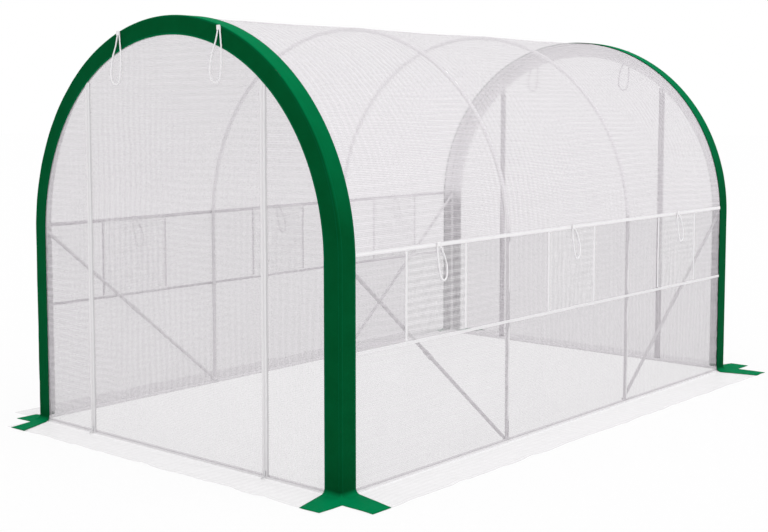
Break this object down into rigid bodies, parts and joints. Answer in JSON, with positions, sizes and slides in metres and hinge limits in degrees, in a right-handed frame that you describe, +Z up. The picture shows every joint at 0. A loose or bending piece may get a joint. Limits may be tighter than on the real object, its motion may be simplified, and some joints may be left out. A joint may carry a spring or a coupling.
{
  "type": "polytunnel greenhouse",
  "caption": "Walk-in polytunnel greenhouse: a white reinforced film cover on tube hoops, with zipped doors at both ends, side windows with flaps, green trims and ground skirts.",
  "frame": {"origin": "middle of the footprint, on the ground", "axes": "+Y along the tunnel from the front door to the back door, +X to the right seen from the front, +Z up"},
  "size_m": [2.45, 3.686, 1.9216],
  "materials": {
    "tube": "satin",
    "film": "translucent",
    "flap": "translucent",
    "screen": "fine mesh",
    "tape": "woven",
    "zip": "woven",
    "trim": "woven",
    "skirt": "translucent",
    "cord": "matt"
  },
  "bodies": {
    "root": {"front_hoop": "tube", "middle_hoop_front": "tube", "middle_hoop_back": "tube", "back_hoop": "tube", "base_rail_front": "tube", "base_rail_back": "tube", "base_rail_left": "tube", "base_rail_right": "tube", "brace_front_left": "tube", "brace_front_right": "tube", "brace_back_left": "tube", "brace_back_right": "tube", "roof_sheet": "film", "lower_wall_left": "film", "lower_wall_right": "film", "window_band_left": "film", "window_band_right": "film", "window_screens_left": "screen", "window_screens_right": "screen", "window_flaps_left": "flap", "window_flaps_right": "flap", "window_tape_left": "tape", "window_tape_right": "tape", "front_door": "film", "back_door": "film", "front_side_panels": "film", "back_side_panels": "film", "front_zips": "zip", "back_zips": "zip", "front_trim": "trim", "back_trim": "trim", "skirt_front": "skirt", "skirt_back": "skirt", "skirt_left": "skirt", "skirt_right": "skirt", "tie_front_left": "cord", "tie_front_right": "cord", "tie_back_left": "cord", "tie_back_right": "cord", "tie_left_1": "cord", "tie_left_2": "cord", "tie_left_3": "cord", "tie_right_1": "cord", "tie_right_2": "cord", "tie_right_3": "cord"}
  },
  "joints": []
}
